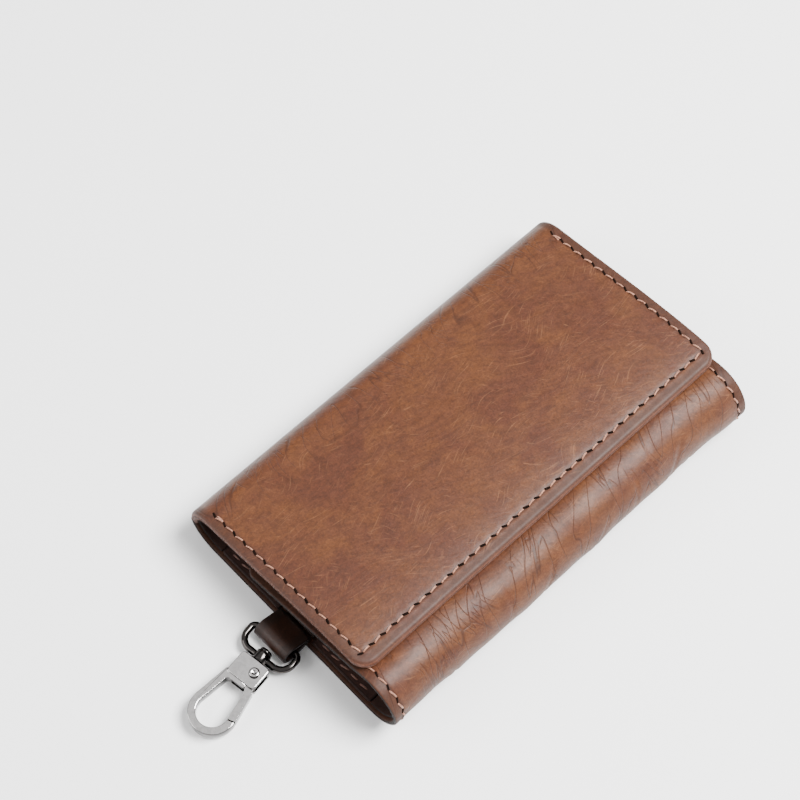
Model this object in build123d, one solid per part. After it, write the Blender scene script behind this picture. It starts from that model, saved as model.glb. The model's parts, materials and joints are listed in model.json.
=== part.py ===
from build123d import *
import math
import os

# A leather key case that folds in three: a back, a cover that folds over from +X and an inner wing that
# folds under it from -X. Inside the back is a plate with six swinging key clips, and a short strap at the
# +Y end holds a swivelling clasp. Millimetres. The case is closed and lies on its back on the XY plane,
# with the origin in the middle of the back's outer face, +Y towards the clasp and +Z up.

# Case
case_length = 115.0  # along Y, end to end of the leather
case_width = 70.0  # along X, outer side to outer side
outer_leather = 1.3
lining_leather = 0.9
neutral_depth = 1.1  # depth of the layer that keeps its length as the leather bends
hinge_setback = 1.9  # leather left soft on each side of a fold line
lining_inset = 1.0  # each lining stops short of the outer leather's ends

# Cover and its spine, on the +X side
cover_bend_radius = 8.0
cover_bend_deg = 172.9  # turn of the leather from the back to the cover
cover_width = 59.5  # outer side of the spine to the free edge
cover_lining_leather = 0.6
cover_pocket_leather = 0.7
cover_pocket_reach = 16.0  # outer side of the spine to the pocket's mouth
cover_corner_radius = 4.5

# Inner wing and its spine, on the -X side
wing_bend_radius = 9.25
wing_bend_deg = 193.0
wing_width = 51.0  # outer side of the spine to the free edge
wing_corner_radius = 3.0

# Middle insert of the back
insert_width = 51.0
strap_notch_clearance = 0.6

# Snap fasteners
snap_from_cover_edge = 14.0
snap_spacing = 70.0
socket_radius = 3.6
socket_bore_radius = 2.65
socket_height = 1.6
socket_proud = 1.25  # how far a socket stands out of the pocket leather
snap_spring_radius = 2.45
snap_spring_wire = 0.3
snap_spring_split = 1.0  # gap between the ends of the spring's ring
snap_cap_radius = 3.9
snap_cap_thickness = 0.5
stud_flange_radius = 3.0
stud_flange_thickness = 0.7
stud_neck_radius = 1.2
stud_head_radius = 1.55
stud_head_height = 0.9
stud_head_rounding = 0.4  # share of the head's height that is rounded over
stud_engagement = 0.9  # depth of a stud's head inside its socket
post_head_radius = 3.2
post_head_thickness = 0.4

# Key hook plate
plate_width = 50.0
plate_thickness = 0.6
plate_depth = 15.0  # tube's axis to the plate's shoulders
tongue_width = 16.0
tongue_depth = 3.5
plate_corner_radius = 3.0
plate_from_end = 5.5  # end of the case to the tube's axis
tube_radius = 1.9
tube_wall = 0.4
tube_cap = 1.0
bar_radius = 0.5
hook_count = 6
hook_pitch = 7.4
slot_width = 2.4
plate_rivet_radius = 1.1
plate_rivet_head_radius = 1.8
plate_rivet_head_height = 0.55
plate_rivet_rounding = 0.8  # share of the head's height that is rounded over
plate_rivet_drop = 8.6  # tube's axis to the rivets
washer_radius = 2.6
washer_thickness = 0.3

# Hangers and key clips
eye_wire_radius = 0.35
eye_clearance = 0.1
stem_radius = 0.4
ring_wire_radius = 0.45
ring_mean_radius = 2.65
ring_drop = 8.6  # tube's axis to the middle of a hanger's ring
ring_neck_drop = 4.4
collar_radius = 1.15
collar_length = 3.4
collar_clearance = 0.25
clip_length = 18.0
clip_width = 3.2
clip_leaf = 0.45
clip_depth = 2.1  # outside to outside of the two leaves
clip_corner_radius = 1.05

# Strap
strap_width = 10.4
strap_leather = 0.85
strap_anchor_length = 14.0
strap_end_gap = 0.35
strap_axis_inset = 0.9  # end of the case to the strap's fold line
strap_clearance = 0.12  # between the strap's underside and the end of the outer leather
loop_reach = 5.4  # fold line to the middle of the loop
loop_thickness = 0.9
loop_bar_clearance = 0.12  # between the ring's bar and the loop, where the turned bar is nearest to it

# Swivel ring and clasp
clasp_yaw_deg = 8.0  # the clasp lies turned a little towards the wing
ring_wire = 0.85
ring_side_gap = 0.7  # between the strap and each side of the ring
ring_height = 5.6
ring_near_corner = 1.3
ring_far_corner = 3.2
boss_radius = 1.9
boss_half_length = 1.2
swivel_gap = 0.2
post_radius = 1.0
post_clearance = 0.05
post_head = 1.65
post_head_length = 0.8
post_head_rounding = 0.7  # share of the head's length that is rounded over
block_length = 6.1
block_width = 8.0
clasp_thickness = 3.4
hook_thickness = 2.8
block_cheek = 0.8
block_web = 1.2
block_corner = 0.9
hook_outer_radius = 5.8
hook_band = 1.85
hook_flare = 0.5  # how far the hook's fixed side stands out past the block
hook_centre_reach = 15.4  # top of the block to the middle of the hook's round end
hook_centre_offset = -0.1  # away from the gate
eye_shoulder_radius = 0.8
eye_shoulder_offset = 2.0
eye_shoulder_reach = 8.0
gate_thickness = 1.6
gate_gap = 0.2
gate_pivot_reach = 2.8
gate_pivot_offset = 1.6
gate_hub_radius = 1.4
gate_heel_radius = 4.7  # pivot to the start of the lever's outer blade
gate_tip_radius = 12.2  # pivot to the lever's tip, which is cut to an arc about the pivot
gate_pin_radius = 0.6
gate_pin_head_radius = 1.3
gate_pin_head_height = 0.3
gate_pin_clearance = 0.05
spring_wire_radius = 0.12
spring_turns = 2
spring_gap = 0.08
spring_turn_gap = 0.0024  # half of the gap between the spring's turns

# Places worked out from the sizes above
half_length = case_length / 2
back_top = outer_leather + lining_leather
cover_edge_x = case_width / 2 - cover_width
wing_edge_x = wing_width - case_width / 2
tube_y = half_length - plate_from_end
tube_z = back_top + tube_radius
strap_y = half_length - strap_axis_inset
anchor_end = strap_y - strap_leather - strap_end_gap
loop_y = strap_y + loop_reach
loop_bore_radius = ring_wire + strap_width / 2 * math.sin(math.radians(clasp_yaw_deg)) + loop_bar_clearance
loop_outer_radius = loop_bore_radius + loop_thickness
strap_taper = math.asin((loop_outer_radius - strap_leather) / loop_reach)
strap_drop = strap_leather / math.cos(strap_taper) + strap_axis_inset * math.tan(strap_taper)
strap_axis_height = outer_leather + strap_clearance + strap_drop
loop_height = strap_axis_height
ring_half_width = strap_width / 2 + ring_side_gap + ring_wire
snap_x = cover_edge_x + snap_from_cover_edge
ring_top_y = loop_y + ring_height
block_y = ring_top_y + boss_half_length + swivel_gap
clasp_yaw = Pos(0, loop_y, loop_height) * Rot(0, 0, clasp_yaw_deg) * Pos(0, -loop_y, -loop_height)

cover_side = 1
wing_side = -1
cover_bend = (cover_side, cover_bend_radius, cover_bend_deg)
wing_bend = (wing_side, wing_bend_radius, wing_bend_deg)

os.makedirs("parts", exist_ok=True)


def bend_point(bend, turn_deg, depth):
    """A point of a spine's section, turn_deg round from the back and depth below the outer face."""
    side, radius, _ = bend
    turn = math.radians(turn_deg)
    reach = case_width / 2 - radius + (radius - depth) * math.sin(turn)
    return Vector(side * reach, 0, radius - (radius - depth) * math.cos(turn))


def panel_point(bend, along, depth):
    """A point of the flat panel past a spine, along it from where the bend ends."""
    side, _, bend_deg = bend
    turn = math.radians(bend_deg)
    return bend_point(bend, bend_deg, depth) + Vector(side * math.cos(turn), 0, math.sin(turn)) * along


def panel_length_to(bend, x):
    """How far along a panel its outer face reaches the given x."""
    return abs((x - bend_point(bend, bend[2], 0).X) / math.cos(math.radians(bend[2])))


def fold_line(bend, share):
    """The axis of a fold: share 1/4 is the fold at the back, 3/4 the fold at the panel.

    Turning about it by half the bend lays the neutral layer flat without stretching it.
    """
    radius, bend_deg = bend[1:]
    quarter = math.radians(bend_deg) / 4
    reach = (radius - neutral_depth) * quarter / math.sin(quarter)
    return bend_point(bend, bend_deg * share, radius - reach)


def soft_turn(bend):
    """The turn that the setback beside a fold line takes up."""
    return math.degrees(hinge_setback / (bend[1] - neutral_depth))


def drawn(edges, length, inset=0.0):
    """A solid with the section given by edges in the XZ plane, centred on the case's length."""
    face = Face(Wire(edges))
    reach = length - 2 * inset
    return Pos(0, -reach / 2, 0) * extrude(face, amount=reach, dir=(0, 1, 0))


def arc_strip(bend, turn_from, turn_to, depth_from, depth_to, inset=0.0):
    """A curved strip of leather between two turns and two depths."""
    middle = (turn_from + turn_to) / 2
    corners = [bend_point(bend, turn, depth_from) for turn in (turn_from, middle, turn_to)]
    corners += [bend_point(bend, turn, depth_to) for turn in (turn_to, middle, turn_from)]
    edges = [
        Edge.make_three_point_arc(*corners[:3]),
        Edge.make_line(corners[2], corners[3]),
        Edge.make_three_point_arc(*corners[3:]),
        Edge.make_line(corners[5], corners[0]),
    ]
    return drawn(edges, case_length, inset)


def plate_strip(points, inset=0.0):
    """A straight strip of leather with the given corners."""
    edges = [Edge.make_line(a, b) for a, b in zip(points, points[1:] + points[:1])]
    return drawn(edges, case_length, inset)


def panel_strip(bend, along_from, along_to, depth_from, depth_to, inset=0.0):
    """A flat strip of a cover or wing panel."""
    points = [
        panel_point(bend, along_from, depth_from),
        panel_point(bend, along_to, depth_from),
        panel_point(bend, along_to, depth_to),
        panel_point(bend, along_from, depth_to),
    ]
    return plate_strip(points, inset)


def spine_strip(bend, depth_from, depth_to, inset=0.0):
    """The stiff middle of a spine, between its two fold lines."""
    soft = soft_turn(bend)
    return arc_strip(bend, bend[2] / 4 + soft, bend[2] * 3 / 4 - soft, depth_from, depth_to, inset)


def rounded_plan(edge_x, other_x, corner_radius, inset=0.0):
    """A tall prism that rounds the two corners at a panel's free edge."""
    low = min(edge_x, other_x)
    high = max(edge_x, other_x)
    length = case_length - 2 * inset
    box = Pos((low + high) / 2, 0, case_width / 2) * Box(high - low, length, case_width)
    corners = box.edges().filter_by(Axis.Z).sort_by(Axis.X)
    free = corners[:2] if edge_x < other_x else corners[-2:]
    return fillet(free, corner_radius)


def upright(radius, z_low, z_high, x, y):
    """An upright cylinder between two heights."""
    return Pos(x, y, (z_low + z_high) / 2) * Cylinder(radius, z_high - z_low)


def lengthwise(radius, y_low, y_high, x, z):
    """A cylinder along Y."""
    return Pos(x, (y_low + y_high) / 2, z) * Rot(90, 0, 0) * Cylinder(radius, y_high - y_low)


def crosswise(radius, length, y, z, x=0.0):
    """A cylinder along X."""
    return Pos(x, y, z) * Rot(0, 90, 0) * Cylinder(radius, length)


def outline_of(faces, thickness):
    """A flat slab, centred on its own plane, from the hull of the given faces."""
    return extrude(make_hull(Sketch(children=faces).edges()), amount=thickness / 2, both=True)


# Back of the case
def make_back_leather():
    flat_cover_x = bend_point(cover_bend, 0, 0).X
    flat_wing_x = bend_point(wing_bend, 0, 0).X
    under = [(flat_wing_x, 0), (flat_cover_x, 0)]
    corners = [*under, (flat_cover_x, outer_leather), (flat_wing_x, outer_leather)]
    back = plate_strip([Vector(x, 0, z) for x, z in corners])
    for bend in (cover_bend, wing_bend):
        back += arc_strip(bend, 0, bend[2] / 4 - soft_turn(bend), 0, outer_leather)
    return back


def make_back_lining():
    """The middle insert, notched for the strap and counterbored underneath for the rivet washers."""
    middle = outer_leather + lining_leather / 2
    insert = Pos(0, 0, middle) * Box(insert_width, case_length - 2 * lining_inset, lining_leather)
    notch_low = anchor_end - strap_anchor_length - strap_notch_clearance
    notch_length = half_length - notch_low
    notch_width = strap_width + 2 * strap_notch_clearance
    insert -= Pos(0, notch_low + notch_length / 2, middle) * Box(notch_width, notch_length, lining_leather)
    for x in rivet_places():
        insert -= upright(plate_rivet_radius, outer_leather, back_top, x, tube_y - plate_rivet_drop)
        insert -= upright(
            washer_radius, outer_leather, outer_leather + washer_thickness, x, tube_y - plate_rivet_drop
        )
    return insert


# Hook plate
def hook_places():
    return [(n - (hook_count - 1) / 2) * hook_pitch for n in range(hook_count)]


def rivet_places():
    return [hook_places()[0], hook_places()[-1]]


def make_hook_plate():
    shoulders = Pos(0, tube_y - plate_depth / 2, 0) * Rectangle(plate_width, plate_depth)
    outline = fillet(shoulders.vertices().sort_by(Axis.Y)[:2], plate_corner_radius)
    tongue_top = tube_y - plate_depth + plate_corner_radius
    tongue_length = tongue_depth + plate_corner_radius
    tongue = Pos(0, tongue_top - tongue_length / 2, 0) * Rectangle(tongue_width, tongue_length)
    outline += fillet(tongue.vertices().sort_by(Axis.Y)[:2], plate_corner_radius)
    plate = Pos(0, 0, back_top) * extrude(outline, amount=plate_thickness)
    plate += crosswise(tube_radius, plate_width, tube_y, tube_z)
    plate -= crosswise(tube_radius - tube_wall, plate_width - 2 * tube_cap, tube_y, tube_z)
    plate -= crosswise(bar_radius, plate_width, tube_y, tube_z)
    for x in hook_places():
        slot_low = tube_z - 2 * stem_radius
        slot_high = tube_z + tube_radius
        height = slot_high - slot_low
        plate -= Pos(x, tube_y, slot_low + height / 2) * Box(slot_width, 2 * tube_radius, height)
    for x in rivet_places():
        y = tube_y - plate_rivet_drop
        plate -= upright(plate_rivet_radius, back_top, back_top + plate_thickness, x, y)
    return plate


def make_key_bar():
    return crosswise(bar_radius, plate_width, tube_y, tube_z)


def make_plate_rivets():
    rivets = []
    plate_top = back_top + plate_thickness
    for x in rivet_places():
        y = tube_y - plate_rivet_drop
        shank = upright(plate_rivet_radius, outer_leather, plate_top, x, y)
        head = upright(plate_rivet_head_radius, plate_top, plate_top + plate_rivet_head_height, x, y)
        rim = head.edges().filter_by(GeomType.CIRCLE).sort_by(Axis.Z)[-1]
        rivets.append(shank + fillet(rim, plate_rivet_head_height * plate_rivet_rounding))
    return Compound(children=rivets)


def make_rivet_washers():
    washers = []
    for x in rivet_places():
        y = tube_y - plate_rivet_drop
        disc = upright(washer_radius, outer_leather, outer_leather + washer_thickness, x, y)
        washers.append(disc - upright(plate_rivet_radius, outer_leather, back_top, x, y))
    return Compound(children=washers)


# Hangers and clips, all at the height of the tube's axis
def make_hanger(x):
    eye_radius = bar_radius + eye_clearance + eye_wire_radius
    eye = Pos(x, tube_y, tube_z) * Rot(0, 90, 0) * Torus(eye_radius, eye_wire_radius)
    stem = lengthwise(stem_radius, tube_y - ring_neck_drop, tube_y - eye_radius, x, tube_z)
    outer = ring_mean_radius + ring_wire_radius
    inner = ring_mean_radius - ring_wire_radius
    lift = ring_drop - ring_neck_drop
    pear = outline_of([Circle(outer), Pos(0, lift, 0) * Circle(2 * ring_wire_radius)], 2 * ring_wire_radius)
    hole = outline_of([Circle(inner), Pos(0, lift - inner, 0) * Circle(ring_wire_radius)], 2 * outer)
    pear -= hole
    return eye + stem + Pos(x, tube_y - ring_drop, tube_z) * pear


def make_key_clip(x):
    """A collar round the hanger's ring, and a strip of spring steel bent back on itself."""
    ring_y = tube_y - ring_drop - ring_mean_radius
    collar_top = ring_y + ring_wire_radius + 2 * collar_clearance
    collar = lengthwise(collar_radius, collar_top - collar_length, collar_top, x, tube_z)
    opening = 2 * (ring_wire_radius + collar_clearance)
    ring_bore = Box(4 * collar_radius, opening, opening)
    collar -= Pos(x, ring_y, tube_z) * ring_bore
    clip_top = collar_top - collar_length + clip_leaf
    clip_end = clip_top - clip_length
    outer = Pos(0, (clip_top + clip_end) / 2) * SlotOverall(clip_length, clip_depth, rotation=90)
    inner = Pos(0, (clip_top + clip_end) / 2) * SlotOverall(
        clip_length - 2 * clip_leaf, clip_depth - 2 * clip_leaf, rotation=90
    )
    loop = extrude(outer - inner, amount=clip_width / 2, both=True)
    # the loop is drawn with its width upright, then laid flat along the case
    loop = Pos(x, 0, tube_z) * Rot(0, 90, 0) * loop
    sides = Pos(x, clip_top, tube_z) * Box(clip_width, 2 * clip_length, 2 * clip_depth)
    far_corners = sides.edges().filter_by(Axis.Z).sort_by(Axis.Y)[:2]
    return collar + (loop & fillet(far_corners, clip_corner_radius))


# Cover
def make_cover_layer(depth_from, depth_to, from_turn, edge_x, inset):
    layer = arc_strip(cover_bend, from_turn, cover_bend_deg, depth_from, depth_to, inset)
    layer += panel_strip(cover_bend, 0, panel_length_to(cover_bend, edge_x), depth_from, depth_to, inset)
    return layer & rounded_plan(edge_x, case_width / 2, cover_corner_radius, inset)


def snap_places():
    return [(snap_x, y) for y in (-snap_spacing / 2, snap_spacing / 2)]


def height_on(bend, x, depth):
    """Height of a panel's layer at the given x."""
    along = abs((x - bend_point(bend, bend[2], depth).X) / math.cos(math.radians(bend[2])))
    return panel_point(bend, along, depth).Z


cover_inside_depth = outer_leather + cover_lining_leather + cover_pocket_leather
socket_low = height_on(cover_bend, snap_x, cover_inside_depth) - socket_proud
socket_high = socket_low + socket_height
stud_top = socket_low + stud_engagement
stud_flange_top = height_on(wing_bend, snap_x, 0) + stud_flange_thickness / 2
cap_low = socket_high


def make_snap_sockets():
    sockets = []
    for x, y in snap_places():
        socket = upright(socket_radius, socket_low, socket_high, x, y)
        rims = socket.edges().filter_by(GeomType.CIRCLE).sort_by(Axis.Z)
        socket = fillet(rims[0], (socket_radius - socket_bore_radius) / 2)
        socket -= upright(socket_bore_radius, socket_low, socket_high - snap_cap_thickness, x, y)
        sockets.append(socket)
    return Compound(children=sockets)


def make_snap_springs():
    """A split wire ring in the roof of each socket, clear of the stud's head."""
    springs = []
    for x, y in snap_places():
        z = socket_high - snap_cap_thickness - snap_spring_wire / 2
        ring = Pos(x, y, z) * Torus(snap_spring_radius - snap_spring_wire / 2, snap_spring_wire / 2)
        split = Box(snap_spring_split, snap_spring_split, snap_spring_split)
        springs.append(ring - Pos(x, y + snap_spring_radius, z) * split)
    return Compound(children=springs)


def make_snap_caps():
    caps = []
    for x, y in snap_places():
        caps.append(upright(snap_cap_radius, cap_low, cap_low + snap_cap_thickness, x, y))
    return Compound(children=caps)


# Wing
def make_wing_layer(depth_from, depth_to, from_turn, inset):
    layer = arc_strip(wing_bend, from_turn, wing_bend_deg, depth_from, depth_to, inset)
    layer += panel_strip(wing_bend, 0, panel_length_to(wing_bend, wing_edge_x), depth_from, depth_to, inset)
    return layer & rounded_plan(wing_edge_x, -case_width / 2, wing_corner_radius, inset)


def make_snap_studs():
    studs = []
    for x, y in snap_places():
        stud = upright(stud_flange_radius, stud_flange_top - stud_flange_thickness, stud_flange_top, x, y)
        rim = stud.edges().filter_by(GeomType.CIRCLE).sort_by(Axis.Z)[-1]
        stud = fillet(rim, stud_flange_thickness / 2)
        stud += upright(stud_neck_radius, stud_flange_top, stud_top - stud_head_height, x, y)
        head = upright(stud_head_radius, stud_top - stud_head_height, stud_top, x, y)
        stud += fillet(head.edges().filter_by(GeomType.CIRCLE), stud_head_height * stud_head_rounding)
        studs.append(stud)
    return Compound(children=studs)


def make_snap_posts():
    """The rivet heads under the wing's leather that the studs are closed on."""
    posts = []
    for x, y in snap_places():
        low = height_on(wing_bend, snap_x, outer_leather) - post_head_thickness / 2
        head = upright(post_head_radius, low, low + post_head_thickness, x, y)
        shank = upright(stud_neck_radius, low, stud_flange_top - stud_flange_thickness, x, y)
        posts.append(head + shank)
    return Compound(children=posts)


# Strap
def make_strap_anchor():
    middle = Pos(0, anchor_end - strap_anchor_length / 2, outer_leather + lining_leather / 2)
    return middle * Box(strap_width, strap_anchor_length, strap_leather)


def make_strap_loop():
    """The strap past its fold line, doubled round the swivel ring's bar. Drawn in Y and Z."""
    fold = Pos(strap_y, strap_axis_height) * Circle(strap_leather)
    loop = Pos(loop_y, loop_height) * Circle(loop_outer_radius)
    outline = make_hull(Sketch(children=[fold, loop]).edges())
    plane = Plane(origin=(0, 0, 0), x_dir=(0, 1, 0), z_dir=(1, 0, 0))
    strap = extrude(plane * outline, amount=strap_width / 2, both=True)
    return strap - crosswise(loop_bore_radius, strap_width, loop_y, loop_height)


# Swivel ring and clasp, drawn in line with the case and then yawed about the loop
def make_swivel_ring():
    corners = [
        (-ring_half_width, loop_y),
        (ring_half_width, loop_y),
        (ring_half_width, ring_top_y),
        (-ring_half_width, ring_top_y),
    ]
    radii = [ring_near_corner, ring_near_corner, ring_far_corner, ring_far_corner]
    path = FilletPolyline(*corners, radius=radii, close=True)
    start = path @ 0
    section = Plane(origin=start, z_dir=path % 0) * Circle(ring_wire)
    ring = Pos(0, 0, loop_height) * sweep(section, path=path)
    boss_low = ring_top_y - boss_half_length
    boss_high = ring_top_y + boss_half_length
    ring += lengthwise(boss_radius, boss_low, boss_high, 0, loop_height)
    ring -= lengthwise(post_radius + post_clearance, boss_low, boss_high, 0, loop_height)
    return ring


def make_swivel_post():
    """The clasp's shank, which turns in the ring's boss and is headed over inside the ring."""
    head_high = ring_top_y - boss_half_length - swivel_gap
    head = lengthwise(post_head, head_high - post_head_length, head_high, 0, loop_height)
    rim = head.edges().filter_by(GeomType.CIRCLE).sort_by(Axis.Y)[0]
    head = fillet(rim, post_head_length * post_head_rounding)
    return head + lengthwise(post_radius, head_high, block_y, 0, loop_height)


def clasp_frame(shape):
    """Stands a shape drawn with +X towards the gate and +Y away from the ring in its place.

    The clasp's gate is on the wing's side, so the drawing is mirrored.
    """
    return Pos(0, block_y, loop_height) * mirror(shape, about=Plane.YZ)


def clasp_outline():
    """The outer outline of the hook, its eye, and the block, as sketches."""
    round_end = Pos(hook_centre_offset, hook_centre_reach) * Circle(hook_outer_radius)
    neck_side = block_width / 2 - block_corner
    necks = [Pos(x, block_length) * Circle(block_corner) for x in (-neck_side - hook_flare, neck_side)]
    outer = make_hull(Sketch(children=[round_end, *necks]).edges())
    eye_end = Pos(hook_centre_offset, hook_centre_reach) * Circle(hook_outer_radius - hook_band)
    shoulders = [
        Pos(s * eye_shoulder_offset, eye_shoulder_reach) * Circle(eye_shoulder_radius) for s in (-1, 1)
    ]
    eye = make_hull(Sketch(children=[eye_end, *shoulders]).edges())
    block = Pos(0, block_length / 2) * RectangleRounded(block_width, block_length, block_corner)
    return outer, eye, block


gate_pivot = Pos(gate_pivot_offset, gate_pivot_reach)


def gate_window(margin):
    """The stretch of the hook's band that the gate fills, with a margin round it.

    Its far end is an arc about the gate's pivot, so that the gate swings clear of the hook's nose.
    """
    low = block_length - margin
    left = eye_shoulder_offset - margin
    side = 2 * hook_centre_reach
    return (Pos(left + side / 2, low + side / 2) * Rectangle(side, side)) & (
        gate_pivot * Circle(gate_tip_radius + margin)
    )


def lever_room():
    """The room for the lever between the block's two cheeks, open towards the gate and the eye."""
    room_left = block_web - block_width / 2
    thickness = clasp_thickness - 2 * block_cheek
    size = 2 * block_width
    room = Pos(room_left + size / 2, block_web + size / 2) * Box(size, size, thickness)
    bridge = Pos(room_left, block_length + block_corner) * Box(2 * block_web, 4 * block_web, thickness)
    return room - bridge


def make_clasp_hook():
    outer, eye, block = clasp_outline()
    hook = extrude(outer - eye - gate_window(gate_gap), amount=hook_thickness / 2, both=True)
    hook += extrude(block, amount=clasp_thickness / 2, both=True)
    nose = extrude(outer - gate_pivot * Circle(gate_tip_radius), amount=hook_thickness / 2, both=True)
    hook -= lever_room() - nose
    hook -= gate_pivot * Cylinder(gate_pin_radius, 2 * clasp_thickness)
    return clasp_frame(hook)


def spring_room_depth():
    return spring_turns * 2 * spring_wire_radius + 2 * spring_gap


def make_gate_lever():
    outer, eye, block = clasp_outline()
    band = (outer - eye) & gate_window(0)
    blade = extrude(band - gate_pivot * Circle(gate_heel_radius), amount=hook_thickness / 2, both=True)
    heel_x = block_width / 2 - gate_gap - block_corner
    heel = Pos(heel_x, gate_pivot_reach + gate_heel_radius - block_corner) * Circle(block_corner)
    arm = outline_of([gate_pivot * Circle(gate_hub_radius), heel], gate_thickness)
    lever = arm + blade
    lever -= gate_pivot * Cylinder(gate_pin_radius + gate_pin_clearance, 2 * clasp_thickness)
    room_radius = gate_pin_radius + 2 * spring_gap + 2 * spring_wire_radius
    room_z = gate_thickness / 2 - spring_room_depth() / 2
    lever -= gate_pivot * Pos(0, 0, room_z) * Cylinder(room_radius, spring_room_depth())
    return clasp_frame(lever)


def make_gate_spring():
    """The turns of the gate's spring round its pin, in a recess of the lever."""
    turns = []
    for number in range(spring_turns):
        z = gate_thickness / 2 - spring_gap - (2 * number + 1) * spring_wire_radius
        coil_radius = gate_pin_radius + spring_gap + spring_wire_radius
        turns.append(gate_pivot * Pos(0, 0, z) * Torus(coil_radius, spring_wire_radius - spring_turn_gap))
    return clasp_frame(Compound(children=turns))


def make_gate_pin():
    pin = gate_pivot * Cylinder(gate_pin_radius, clasp_thickness)
    for side in (-1, 1):
        z = side * (clasp_thickness + gate_pin_head_height) / 2
        pin += gate_pivot * Pos(0, 0, z) * Cylinder(gate_pin_head_radius, gate_pin_head_height)
    return clasp_frame(pin)


nodes = {
    "back_leather": make_back_leather(),
    "back_lining": make_back_lining(),
    "hook_plate": make_hook_plate(),
    "key_bar": make_key_bar(),
    "plate_rivets": make_plate_rivets(),
    "rivet_washers": make_rivet_washers(),
    "strap_anchor": make_strap_anchor(),
    "strap_loop": make_strap_loop(),
    "swivel_ring": clasp_yaw * make_swivel_ring(),
    "swivel_post": clasp_yaw * make_swivel_post(),
    "clasp_hook": clasp_yaw * make_clasp_hook(),
    "gate_lever": clasp_yaw * make_gate_lever(),
    "gate_pin": clasp_yaw * make_gate_pin(),
    "gate_spring": clasp_yaw * make_gate_spring(),
}
for number, x in enumerate(hook_places(), 1):
    nodes[f"hanger_{number}"] = make_hanger(x)
    nodes[f"key_clip_{number}"] = make_key_clip(x)
for name, bend in (("cover", cover_bend), ("wing", wing_bend)):
    nodes[f"{name}_spine_leather"] = spine_strip(bend, 0, outer_leather)
    nodes[f"{name}_spine_lining"] = spine_strip(bend, outer_leather, back_top, lining_inset)

cover_start = cover_bend_deg * 3 / 4 + soft_turn(cover_bend)
wing_start = wing_bend_deg * 3 / 4 + soft_turn(wing_bend)
lining_depth = outer_leather + cover_lining_leather
cover_leather = make_cover_layer(0, outer_leather, cover_start, cover_edge_x, 0)
lining_edge_x = cover_edge_x + lining_inset
cover_lining = make_cover_layer(outer_leather, lining_depth, cover_start, lining_edge_x, lining_inset)
pocket_start = panel_length_to(cover_bend, case_width / 2 - cover_pocket_reach)
pocket_end = panel_length_to(cover_bend, lining_edge_x)
pocket = panel_strip(cover_bend, pocket_start, pocket_end, lining_depth, cover_inside_depth, lining_inset)
pocket &= rounded_plan(lining_edge_x, case_width / 2, cover_corner_radius, lining_inset)
wing_leather = make_wing_layer(0, outer_leather, wing_start, 0)
wing_lining = make_wing_layer(outer_leather, back_top, wing_start, lining_inset)
sockets = make_snap_sockets()
caps = make_snap_caps()
studs = make_snap_studs()
posts = make_snap_posts()
for x, y in snap_places():
    seat = upright(socket_radius, socket_low, socket_high, x, y)
    cap_seat = upright(snap_cap_radius, cap_low, cap_low + snap_cap_thickness, x, y)
    pocket -= seat
    cover_lining -= seat
    cover_lining -= cap_seat
    cover_leather -= seat
    cover_leather -= cap_seat
    pocket -= cap_seat
    flange_low = stud_flange_top - stud_flange_thickness
    post_low = height_on(wing_bend, snap_x, outer_leather) - post_head_thickness / 2
    flange_seat = upright(stud_flange_radius, flange_low, stud_flange_top + stud_neck_radius, x, y)
    post_seat = upright(post_head_radius, post_low, post_low + post_head_thickness, x, y)
    shank_seat = upright(stud_neck_radius, post_low, flange_low, x, y)
    wing_leather -= flange_seat
    wing_leather -= post_seat
    wing_leather -= shank_seat
    wing_lining -= post_seat
    wing_lining -= shank_seat
nodes["cover_leather"] = cover_leather
nodes["cover_lining"] = cover_lining
nodes["cover_pocket"] = pocket
nodes["snap_sockets"] = sockets
nodes["snap_springs"] = make_snap_springs()
nodes["snap_caps"] = caps
nodes["wing_leather"] = wing_leather
nodes["wing_lining"] = wing_lining
nodes["snap_studs"] = studs
nodes["snap_posts"] = posts

for name, shape in nodes.items():
    export_step(shape, f"parts/{name}.step")
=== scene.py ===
import json
import math
import bmesh
import bpy
import numpy as np
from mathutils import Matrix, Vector

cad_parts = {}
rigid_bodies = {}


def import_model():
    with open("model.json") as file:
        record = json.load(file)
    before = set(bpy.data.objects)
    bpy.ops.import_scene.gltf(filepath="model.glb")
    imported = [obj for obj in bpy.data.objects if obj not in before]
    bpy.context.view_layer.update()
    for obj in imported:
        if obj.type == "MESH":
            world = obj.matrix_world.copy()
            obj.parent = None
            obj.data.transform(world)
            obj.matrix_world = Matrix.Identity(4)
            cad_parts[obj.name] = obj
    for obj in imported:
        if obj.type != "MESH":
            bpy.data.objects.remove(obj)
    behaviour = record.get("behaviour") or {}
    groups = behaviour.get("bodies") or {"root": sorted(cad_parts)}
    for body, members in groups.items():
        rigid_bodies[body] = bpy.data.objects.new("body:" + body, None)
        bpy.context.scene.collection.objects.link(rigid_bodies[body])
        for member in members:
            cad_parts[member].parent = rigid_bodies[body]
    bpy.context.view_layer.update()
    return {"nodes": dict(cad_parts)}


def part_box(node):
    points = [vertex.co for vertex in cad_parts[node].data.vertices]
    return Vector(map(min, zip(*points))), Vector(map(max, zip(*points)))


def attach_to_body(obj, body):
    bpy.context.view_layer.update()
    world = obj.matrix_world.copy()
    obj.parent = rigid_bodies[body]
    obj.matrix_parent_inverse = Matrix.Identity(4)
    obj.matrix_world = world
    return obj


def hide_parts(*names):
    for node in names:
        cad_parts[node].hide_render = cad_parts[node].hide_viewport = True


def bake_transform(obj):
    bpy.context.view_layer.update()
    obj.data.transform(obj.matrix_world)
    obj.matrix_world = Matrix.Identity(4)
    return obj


# A leather key case, closed, lying on its back. Lengths below are in millimetres and are brought to
# metres as each mesh is made. A sheet of leather is laid out by s, the length along the case's section
# from the middle of the back, and y, the length of the case.
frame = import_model()

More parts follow.
